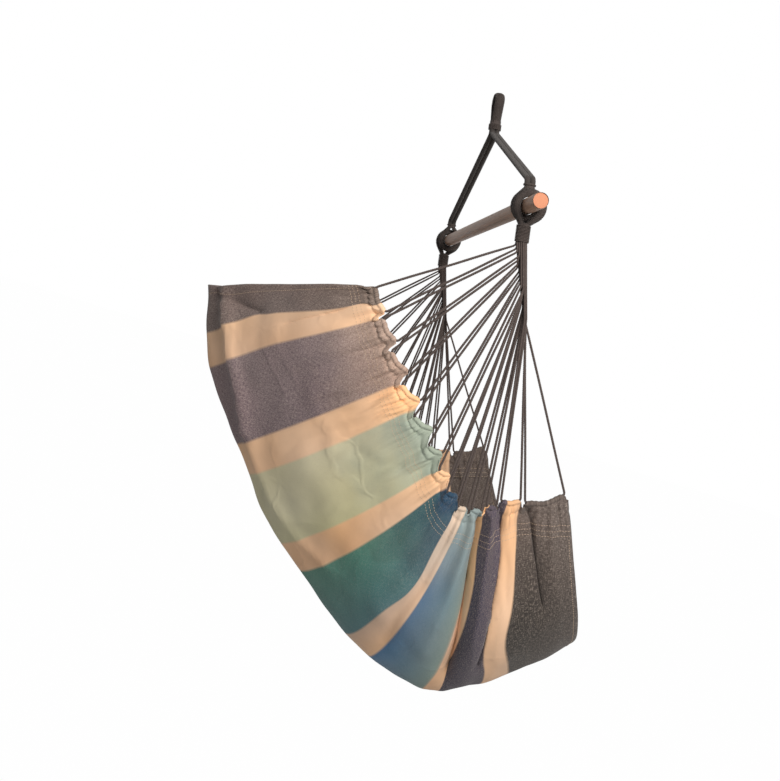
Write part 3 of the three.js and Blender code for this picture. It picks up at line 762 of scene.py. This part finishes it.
def uneven(across, along, size, seed):
    """Smooth unevenness between about -1 and 1, its swells about size apart."""
    total = 0.0
    for wave in range(6):
        heading = 2.4 * wave + seed
        reach = (across * math.cos(heading) + along * math.sin(heading)) / size * (0.7 + 0.13 * wave)
        total = total + np.sin(2 * math.pi * reach + 1.7 * wave * seed + seed)
    return total / 3.2


# Rows of the cloth along its gathered edge: through each tunnel, and down into each notch
edge_rows = []
edge_done = 0.0
for index, tab in enumerate(tabs):
    tunnel = tab["tunnel"]
    half = tab["chord"] / 2
    in_tunnel = np.linspace(-tunnel / 2, tunnel / 2, max(int(round(tunnel / row_pitch)), 3) + 1)
    beyond = tunnel / 2 + np.concatenate([ear_marks, [notch_mark]])
    marks = np.concatenate([-beyond[::-1], in_tunnel, beyond, [half]])
    if index == 0:
        marks = np.concatenate([[-half], marks])
    for mark in marks:
        toward = -1 if mark < 0 else 1
        at_end = not 0 <= index + toward < cord_loops
        other = tab if at_end else tabs[index + toward]
        own_end = tab["centre"] + tab["run"] * toward * half
        other_end = own_end if at_end else other["centre"] - other["run"] * toward * other["chord"] / 2
        past = abs(mark) - tunnel / 2
        blend = eased((past - ear_marks[-1]) / (half - tunnel / 2 - ear_marks[-1])) / 2
        up = tab["up"] * (1 - blend) + other["up"] * blend
        run = tab["run"] * (1 - blend) + other["run"] * blend
        up, run = unit(up), unit(run)
        centre = tab["centre"] + tab["run"] * mark + (other_end - own_end) * blend
        out = np.cross(run, up)
        through = past < notch_mark - 1
        radius = notch_fold_radius
        if past < 0.01:
            centre = centre - up * sagging(tab, centre)
            radius = casing_radius
        elif through:
            bend = math.asin(past / cord_bend_radius)
            centre = centre + up * cord_bend_radius * (1 - math.cos(bend))
            up = up * math.cos(bend) - run * toward * math.sin(bend)
            radius = ear_radius
        else:
            centre = centre - up * notch_drop * eased(past / (half - tunnel / 2))
        bunch = bunch_shares[index]
        if not at_end:
            bunch += (bunch_shares[index + toward] - bunch) * blend
        wave = -math.cos(2 * math.pi * (0.5 + mark / (2 * half)))
        edge_rows.append({
            "share": np.interp(0.5 + mark / (2 * half), [0, 1], tab_shares[index:index + 2]),
            "place": edge_done + half + mark,
            "centre": centre, "up": up, "out": out, "radius": radius, "through": through,
            "bunch": bunch * ((1 + wave) / 2 if at_end else wave),
        })
    edge_done += tab["chord"]


def of_rows(part):
    """One part of every row of the cloth."""
    return np.array([row[part] for row in edge_rows])


row_shares, row_radii, row_through = of_rows("share"), of_rows("radius"), of_rows("through")
row_centres, row_ups, row_outs = of_rows("centre"), of_rows("up"), of_rows("out")
row_places, row_bunches = of_rows("place")[:, None], of_rows("bunch")[:, None]

# Columns of the cloth, from the side edge to its middle line
from_edge = np.concatenate([
    [0, 3, 6, 10, 14, 17, groove_place, 23, 28, 34, 40, stitch_rows[0], 51, stitch_rows[1], 62],
    [stitch_rows[2], side_hem, 77, 84, 92, 103, 115, 128, 142],
    np.arange(157, 500, 16), np.arange(508, half_width, 12), [half_width],
]).astype(float)
hem_columns = int(np.searchsorted(from_edge, side_hem)) + 1

# Creases and folds of the cloth: points in millimetres across from the middle line and along
# from the top edge, how far the fold stands out, how wide it is, and how much it draws in
folds = [
    ([(-96, 20), (-130, 95), (-140, 158), (-132, 235), (-106, 305)], 29.0, 25.0, 0),
    ([(-96, 345), (-84, 400), (-95, 450), (-122, 552), (-172, 620)], 12.0, 27.0, 0),
    ([(-44, 12), (-130, 36), (-235, 66)], -15.0, 17.0, 5),
    ([(-600, 92), (-480, 104), (-330, 108)], -7.0, 12.0, 4),
    ([(-600, 1333), (-545, 1341), (-440, 1348), (-390, 1356)], -22.0, 15.0, 7),
    ([(-600, 1380), (-430, 1384)], 7.0, 22.0, 0),
    ([(-545, 1262), (-480, 1260), (-425, 1252)], -9.0, 14.0, 0),
    ([(-600, 1225), (-510, 1236), (-445, 1208), (-360, 1176), (-250, 1172)], -16.0, 15.0, 8),
    ([(-600, 984), (-545, 990), (-480, 994), (-400, 1006), (-300, 1024), (-200, 1044)], -50.0, 33.0, 6),
    ([(-600, 1090), (-470, 1096), (-340, 1104)], 14.0, 22.0, 0),
    ([(-600, 930), (-430, 930), (-260, 930)], 12.0, 36.0, 0),
    ([(-600, 806), (-500, 812), (-400, 818), (-300, 812), (-190, 830)], -15.0, 24.0, 0),
    ([(-560, 752), (-400, 762), (-260, 770)], 8.0, 22.0, 0),
    ([(-365, 262), (-360, 325), (-384, 360), (-362, 400)], 5.0, 12.0, 0),
    ([(-415, 408), (-470, 472), (-520, 500)], -5.0, 9.0, 2),
    ([(-330, 655), (-430, 725)], -5.0, 10.0, 3),
    ([(-180, 860), (-260, 845), (-350, 880)], 6.0, 16.0, 0),
    ([(-200, 380), (-290, 360), (-420, 372)], -3.0, 9.0, 0),
    ([(-120, 505), (-250, 540), (-330, 520)], 4.0, 14.0, 0),
    ([(600, 1060), (430, 1066), (300, 1060)], -30.0, 24.0, 6),
    ([(600, 1340), (520, 1338), (430, 1350)], -14.0, 14.0, 4),
    ([(160, 180), (200, 300), (190, 420)], 5.0, 18.0, 0),
    ([(300, 620), (380, 640), (460, 610)], -5.0, 14.0, 3),
]
# Where the sag of the cloth has carried its stripes along: the place, how far, and how wide
slips = [
    (-280, 90, -17.0, 150, 58), (-330, 180, -11.0, 330, 110), (-405, 780, 32.0, 75, 34),
    (-320, 1130, -30.0, 190, 200), (-340, 1240, -28.0, 110, 62), (-540, 1060, -24.0, 60, 50),
    (-350, 1064, 16.0, 120, 46), (-470, 1232, 15.0, 58, 30), (-470, 1308, -13.0, 58, 30),
    (0, 1310, 16.0, 110, 80), (330, 1150, -24.0, 190, 200),
]
# Where its edge is drawn in a little
pulls = [(-430, 1434, -12.0, 170, 90)]
# Where it hangs less low, or lower, over a broad patch
patches = [
    (-160, 1040, -13.0, 190, 130), (150, 1040, -8.0, 190, 130), (-110, 800, 5.0, 150, 90),
    (0, 170, -8.0, 160, 110), (0, 480, 8.0, 160, 90),
]


def swells(places, across, along):
    """The sum of soft round swells, each with its place, its height and its reach."""
    return sum(
        high * np.exp(-((across - x) / wide) ** 2 - ((along - y) / long) ** 2)
        for x, y, high, wide, long in places
    )


def folded(across, along):
    """How far the cloth stands out at points of its flat shape, and how far it is drawn across
    and along."""
    shape = np.broadcast(across, along).shape
    height, drawn_across, drawn_along = np.zeros(shape), np.zeros(shape), np.zeros(shape)
    for corners, out, width, draws in folds:
        nearest = np.full(shape, np.inf)
        to_x, to_y = np.zeros(shape), np.zeros(shape)
        for (x0, y0), (x1, y1) in zip(corners, corners[1:]):
            run_x, run_y = x1 - x0, y1 - y0
            share = ((across - x0) * run_x + (along - y0) * run_y) / (run_x * run_x + run_y * run_y)
            share = np.clip(share, 0, 1)
            gap_x, gap_y = x0 + share * run_x - across, y0 + share * run_y - along
            distance = np.hypot(gap_x, gap_y)
            closer = distance < nearest
            nearest = np.where(closer, distance, nearest)
            to_x, to_y = np.where(closer, gap_x, to_x), np.where(closer, gap_y, to_y)
        height += out * np.exp(-np.hypot(nearest, crest_radius) / width)
        pull = draws / width * np.exp(0.5 - 0.5 * (nearest / width) ** 2)
        drawn_across += to_x * pull
        drawn_along += to_y * pull
    drawn_along += swells(pulls, across, along)
    return height + swells(patches, across, along), drawn_across, drawn_along


def ripples(high, varies, over, fades, pitch, strays, size, seeds):
    """Ripples along the gathered edge, which die out toward the middle of the cloth."""
    height = (high + varies * uneven(row_places, 0, over, seeds[0])) * np.exp(-from_edge / fades)
    phase = 2 * math.pi * row_places / pitch + strays * uneven(row_places, from_edge, size, seeds[1])
    return height * np.sin(phase)


def outward(points):
    """Directions square to a grid of points, not yet of one length."""
    return np.cross(np.gradient(points, axis=1), np.gradient(points, axis=0))


def cloth_half(mirror):
    """Points of one half of the sheet, with their outward normals, as a right-hand half."""
    base = seat_points(row_shares, from_edge / half_width)
    across = mirror * (from_edge - half_width)[None, :]
    along = (row_shares * cloth_length)[:, None]
    out = outward(base)
    out[:, -1, 0] = 0
    fold_bottom = row_centres - row_ups * (row_radii + layer_gap / 2)[:, None]
    held = np.exp(-(from_edge / held_reach) ** 2)[None, :, None]
    placed = base + (fold_bottom - base[:, 0])[:, None, :] * held
    seed = 1.3 if mirror > 0 else 2.9
    swelling = swelling_height * row_bunches * np.exp(-from_edge / swelling_reach)
    puckers = ripples(high=3.4, varies=0.9, over=47, fades=52, pitch=11, strays=1.6, size=90,
                      seeds=(seed, seed))
    gathers = ripples(high=3.6, varies=1.4, over=120, fades=130, pitch=29, strays=1.8, size=150,
                      seeds=(seed + 1, seed + 2))
    near_edge = 1 - np.exp(-from_edge / casing_reach)
    fold_out, drawn_across, drawn_along = folded(across, along)
    groove = -groove_depth * np.exp(-((from_edge - groove_place) / groove_width) ** 2)
    loose = 1 - np.exp(-from_edge / loose_reach)
    slack = 4.5 * uneven(across, along, 330, 0.7) + 1.5 * uneven(across, along, 105, 2.2)
    height = near_edge * (swelling + puckers + gathers + fold_out + groove) + loose * slack
    inward, downward = (unit(np.gradient(base, axis=axis)) for axis in (1, 0))
    drawn = (loose * drawn_across * mirror)[..., None] * inward
    drawn += (loose * drawn_along)[..., None] * downward
    placed = placed + unit(out) * height[..., None] + drawn
    return placed, unit(outward(placed))


# The sheet with its casings: hem, fold and sheet of the right half, then the left half
ring_angles = np.radians(np.linspace(344, 16, 10))
halves, stitch_lines = [], []
for mirror in (1, -1):
    sheet, out = cloth_half(mirror)
    hem = sheet[:, :hem_columns] - out[:, :hem_columns] * layer_gap
    ripple = 1 + casing_ripple * np.sin(2 * math.pi * row_places / casing_ripple_pitch + mirror)
    ring = row_centres[:, None, :] + (row_radii[:, None] * ripple)[..., None] * (
        row_outs[:, None, :] * np.sin(ring_angles)[None, :, None]
        - row_ups[:, None, :] * np.cos(ring_angles)[None, :, None]
    )
    half_sheet = np.concatenate([hem[:, ::-1], ring, sheet], axis=1)
    turned = np.array([mirror, 1, 1])
    halves.append(half_sheet * turned)
    for distance in stitch_rows:
        column = list(from_edge).index(distance)
        for layer, facing in ((sheet, out[:, column] * turned), (hem, -out[:, column] * turned)):
            stitch_lines.append((layer[:, column] * turned + facing * stitch_lift, facing))
right_half, left_half = halves
points = np.concatenate([right_half, left_half[:, -2::-1]], axis=1)
hem_first = hem_columns + len(ring_angles) + hem_columns - 1
right_across = np.concatenate([from_edge[:hem_columns][::-1], np.zeros(len(ring_angles)), from_edge])
column_across = np.concatenate([right_across - half_width, half_width - right_across[-2::-1]])
row_count, column_count = points.shape[:2]
index = np.arange(row_count * column_count).reshape(row_count, column_count)
quads = np.stack([index[:-1, :-1], index[:-1, 1:], index[1:, 1:], index[1:, :-1]], axis=-1)
at_mouth = row_through[:-1] != row_through[1:]
kept = np.ones(quads.shape[:2], bool)
for first in (hem_columns - 1, column_count - hem_columns - len(ring_angles) - 1):
    kept[at_mouth, first:first + len(ring_angles) + 1] = False
quads = quads[kept]
vertices = points.reshape(-1, 3)
grid_across, grid_along = np.meshgrid(column_across, row_shares * cloth_length)
grid_along = np.clip(grid_along - swells(slips, grid_across, grid_along), 0, cloth_length)
flat_places = np.stack([grid_across / (2 * half_width) + 0.5, grid_along / cloth_length], axis=-1)

# Both ends of the cloth are turned in between the side hems
grid_out = unit(outward(points))
inside = slice(hem_first, column_count - hem_first)
end_places = []
for end_row, inwards in ((0, 1), (row_count - 1, -1)):
    end, out = points[end_row, inside], grid_out[end_row, inside]
    beyond = unit(end - points[end_row + inwards, inside])
    rows = [end, end - out * layer_gap / 2 + beyond * layer_gap / 2]
    shares = [flat_places[end_row, inside]] * 2
    for turned_in in range(3):
        row = end_row + inwards * turned_in
        rows.append(points[row, inside] - grid_out[row, inside] * layer_gap)
        shares.append(flat_places[row, inside])
    strip = np.array(rows)
    count = strip.shape[1]
    numbers = len(vertices) + np.arange((len(rows) - 1) * count).reshape(len(rows) - 1, count)
    numbers = np.concatenate([index[end_row, inside][None, :], numbers])
    strip_quads = np.stack([numbers[:-1, :-1], numbers[1:, :-1], numbers[1:, 1:], numbers[:-1, 1:]], -1)
    if inwards < 0:
        strip_quads = strip_quads[..., ::-1]
    quads = np.concatenate([quads, strip_quads.reshape(-1, 4)])
    vertices = np.concatenate([vertices, strip[1:].reshape(-1, 3)])
    end_places += shares[1:]
    seam = points[end_row + 2 * inwards, inside]
    facing = grid_out[end_row + 2 * inwards, inside]
    stitch_lines.append((seam + facing * stitch_lift, facing))
    stitch_lines.append((seam - facing * (layer_gap + stitch_lift), -facing))


def painted(red, green, blue):
    """A colour given as it looks on a screen, for a shader's socket."""
    return tuple(((part / 255 + 0.055) / 1.055) ** 2.4 for part in (red, green, blue)) + (1,)


# The cloth's stripes run across it. From the top edge on: where each one ends along the length
# in millimetres, its colour in the middle of the cloth where it begins and where it ends, its
# colour at the side edges, and how much of a melange it is
cream = (246, 203, 163)
stripes = [
    (97, (120, 104, 100), (130, 115, 111), (126, 110, 100), 1.0),
    (163, cream, (240, 196, 157), cream, 0.0),
    (330, (144, 126, 130), (132, 116, 122), (180, 156, 142), 1.0),
    (396, cream, cream, (252, 206, 164), 0.0),
    (554, (216, 211, 176), (208, 206, 168), (162, 174, 162), 0.12),
    (620, cream, (240, 197, 160), (238, 200, 166), 0.0),
    (778, (90, 142, 128), (84, 126, 134), (34, 68, 94), 0.35),
    # This cream's greyish colours where it begins and at the side edges are painted shade, for the fold
    # beside the teal
    (845, (216, 188, 166), cream, (208, 190, 172), 0.0),
    (1003, (78, 122, 162), (134, 156, 150), (142, 158, 160), 0.2),
    (1069, (236, 194, 158), cream, cream, 0.0),
    # The navy's darker colour where it begins is partly its dye and partly painted shade, for the deep
    # fold before it
    (1236, (54, 54, 72), (92, 87, 100), (78, 73, 86), 0.8),
    (1302, cream, (238, 199, 164), (228, 187, 151), 0.0),
    # The last grey's darker colour where it begins is partly its own grey and partly painted shade, for
    # the shaded side of the pleat there
    (1434, (46, 44, 40), (82, 75, 71), (95, 85, 80), 0.65),
]

weave, step, put = finish_of("striped_cotton")
flat = step("UVMap", {"uv_map": "flat"})
apart = step("SeparateXYZ", i0=flat)
stripe_blur = 0.0004


def stripe_ramp(colours):
    """A ramp along the cloth, with a sharp change at the end of each stripe. colours gives a
    stripe's colour where it begins and where it ends."""
    stops = []
    begun = 0.0
    for stripe in stripes:
        ended = stripe[0] / cloth_length
        stops += zip((begun + stripe_blur, ended - stripe_blur), colours(stripe))
        begun = ended
    return toned(step, apart.outputs[1], stops)


in_the_middle = stripe_ramp(lambda stripe: (painted(*stripe[1]), painted(*stripe[2])))
at_the_edge = stripe_ramp(lambda stripe: (painted(*stripe[3]),) * 2)
melange = stripe_ramp(lambda stripe: ((stripe[4],) * 3 + (1,),) * 2)
metres = step("Mapping", {3: (1.2, 1.434, 1.0)}, i0=flat)
from_middle = step("Math", {"operation": "SUBTRACT", 1: 0.5}, i0=apart.outputs[0])
outwards = step("Math", {"operation": "ABSOLUTE"}, i0=from_middle)
clouds = noise(step, metres, 7.0, 3.0, 0.55)
drift = step("Math", {"operation": "MULTIPLY_ADD", 1: 0.22}, i0=clouds, i2=outwards)
to_edge = ranged(step, drift, 0.42, 0.60)
colour = step("Mix", {"data_type": "RGBA"}, i0=to_edge, i6=in_the_middle, i7=at_the_edge)
weft, warp = (
    noise(step, metres, 1.0, 4.0, 0.72, stretch=counts)
    for counts in ((120, 620, 1), (670, 140, 1))
)
threads = step("Math", {"operation": "ADD"}, i0=weft, i1=warp)
pale_threads = ranged(step, threads, 1.0, 1.30, 0.0, 0.7)
dark_threads = ranged(step, threads, 1.0, 0.72, 0.0, 0.75)
for yarn, look in ((pale_threads, painted(206, 192, 182)), (dark_threads, painted(52, 46, 56))):
    share = step("Math", {"operation": "MULTIPLY"}, i0=yarn, i1=melange)
    colour = step("Mix", {"data_type": "RGBA", 7: look}, i0=share, i6=colour)
lightness = ranged(step, noise(step, metres, 5.5, 4.0, 0.6), 0.3, 0.7, 0.90, 1.10)
faded = noise(step, metres, 3.1, 2.0, shift=(4.0, 9.0, 0.0))
dye_left = ranged(step, faded, 0.3, 0.7, 0.80, 1.12)
put("Base Color", step("HueSaturation", i1=dye_left, i2=lightness, i4=colour))
wander = noise(step, metres, 5.0, 3.0, 0.6)
wandered = step("VectorMath", {"operation": "MULTIPLY_ADD", 1: (0.22, 0.22, 0.0)},
                i0=wander.outputs[1], i2=metres)
wrinkles = step("TexVoronoi", {"feature": "DISTANCE_TO_EDGE", 2: 7.0}, i0=wandered)
sharp = step("MapRange", {"interpolation_type": "SMOOTHERSTEP", 1: 0.0, 2: 0.09, 3: 1.0, 4: 0.0},
             i0=wrinkles)
here_and_there = ranged(step, clouds, 0.43, 0.60)
creased = step("Math", {"operation": "MULTIPLY"}, i0=sharp, i1=here_and_there)
crumple = step("Bump", {0: 0.4, 1: 0.0018}, i3=creased)
put("Normal", step("Bump", {0: 0.5, 1: 0.0004}, i3=threads, i4=crumple))
put("Roughness", 0.92)
put("Specular IOR Level", 0.2)
put("Sheen Weight", 0.12)
put("Sheen Roughness", 0.5)

flat_places = np.concatenate([flat_places.reshape(-1, 2)] + end_places)
corners = flat_places[quads.ravel()]
cloth = mesh_piece("striped_seat_cloth", vertices, quads.tolist(), weave, "flat", corners)
thicken = cloth.modifiers.new("thickness", "SOLIDIFY")
thicken.thickness = cloth_thickness / 1000
thicken.offset = 0
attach(cloth, "seat")
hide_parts("fabric_seat")

# Stitching: three rows of pale thread close each side hem, and one row each end hem. The
# stitches show on both faces of the cloth.
stitch_length, stitch_pitch, thread_radius, thread_sides = 4.0, 5.6, 0.42, 5
first_stitch, last_stitch, stitch_sunk, stitch_proud = 2.0, 1.0, -0.45, 0.25


def stitched(line, out):
    """Rings of points for the short stitches along a line, each end of them in the cloth."""
    lengths = lengths_along(line)
    starts = np.arange(first_stitch, lengths[-1] - stitch_length - last_stitch, stitch_pitch)
    marks = starts[:, None] + stitch_length * np.array([0.0, 0.25, 0.75, 1.0])
    middle = sampled(marks, lengths, line)
    lifted = unit(sampled(marks, lengths, out))
    heading = (middle[:, -1] - middle[:, 0])[:, None, :]
    sideways = unit(np.cross(heading, lifted))
    lifts = np.array([stitch_sunk, stitch_proud, stitch_proud, stitch_sunk])
    middle = middle + lifted * lifts[None, :, None]
    angles = all_round(thread_sides)
    reach = thread_radius * np.array([0.5, 1.0, 1.0, 0.5])[None, :, None, None]
    return middle[:, :, None, :] + reach * (
        lifted[:, :, None, :] * np.cos(angles)[None, None, :, None]
        + sideways[:, :, None, :] * np.sin(angles)[None, None, :, None]
    )


stitches = np.concatenate([stitched(line, out) for line, out in stitch_lines])
ring, side = np.meshgrid(np.arange(3), np.arange(thread_sides), indexing="ij")
here, ahead, following = ring * thread_sides, (ring + 1) * thread_sides, (side + 1) % thread_sides
one = np.stack([here + side, ahead + side, ahead + following, here + following], -1).reshape(-1, 4)
starts = np.arange(len(stitches))[:, None, None] * 4 * thread_sides
faces = (starts + one).reshape(-1, 4).tolist()
first_end = np.arange(thread_sides)
for end in (first_end, 4 * thread_sides - 1 - first_end):
    faces += (starts[:, 0] + end).tolist()
thread, step, put = finish_of("pale_thread")
put("Base Color", painted(204, 182, 160))
put("Roughness", 0.85)
stitching = mesh_piece("hem_stitches", stitches.reshape(-1, 3), faces, thread)
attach(stitching, "seat")

# Studio: a white floor that keeps the chair's shadow, a white surround, and one warm soft lamp
# above the camera. The surround lights the chair less than it shows.
bpy.ops.object.select_all(action="DESELECT")
bpy.ops.mesh.primitive_plane_add(size=60, location=(0, 0, -1.80))
floor = bpy.context.object
floor.name = "studio_floor"
bpy.ops.object.transform_apply(location=True, rotation=True, scale=True)


def seen_straight(step):
    """1 for rays from the camera, off a mirror or through glass, and 0 for those that light."""
    rays = step("LightPath")
    seen = rays.outputs["Is Camera Ray"]
    for ray in ("Is Glossy Ray", "Is Transmission Ray"):
        seen = step("Math", {"operation": "MAXIMUM"}, i0=seen, i1=rays.outputs[ray])
    return seen


pale, step, put = finish_of("studio_white")
put("Base Color", (0.62, 0.62, 0.62, 1))
put("Roughness", 0.9)
put("Specular IOR Level", 0.0)
whiter = step("Math", {"operation": "MULTIPLY", 1: 0.992}, i0=seen_straight(step))
nodes = pale.node_tree.nodes
floor_look = step("MixShader", i0=whiter, i1=nodes["Principled BSDF"], i2=step("Emission", {1: 1.0}))
pale.node_tree.links.new(floor_look.outputs[0], nodes["Material Output"].inputs["Surface"])
floor.data.materials.append(pale)

world = bpy.data.worlds.new("studio")
bpy.context.scene.world = world
world.use_nodes = True
surround = world.node_tree.nodes["Background"]
surround.inputs[0].default_value = (1, 1, 1, 1)
step = steps_of(world.node_tree)
strength = ranged(step, seen_straight(step), 0.0, 1.0, 0.165, 1.0)
world.node_tree.links.new(strength.outputs[0], surround.inputs[1])
bpy.ops.object.light_add(type="AREA", location=(-3.04, -0.38, 0.66))
lamp = bpy.context.object
lamp.name = "soft_lamp"
lamp.data.size = 1.3
lamp.data.energy = 112
lamp.data.color = (1.0, 0.93, 0.86)
lamp.rotation_euler = (lamp.location - Vector((0, 0, -0.7))).to_track_quat("Z", "Y").to_euler()
bpy.context.scene.view_settings.view_transform = "Standard"
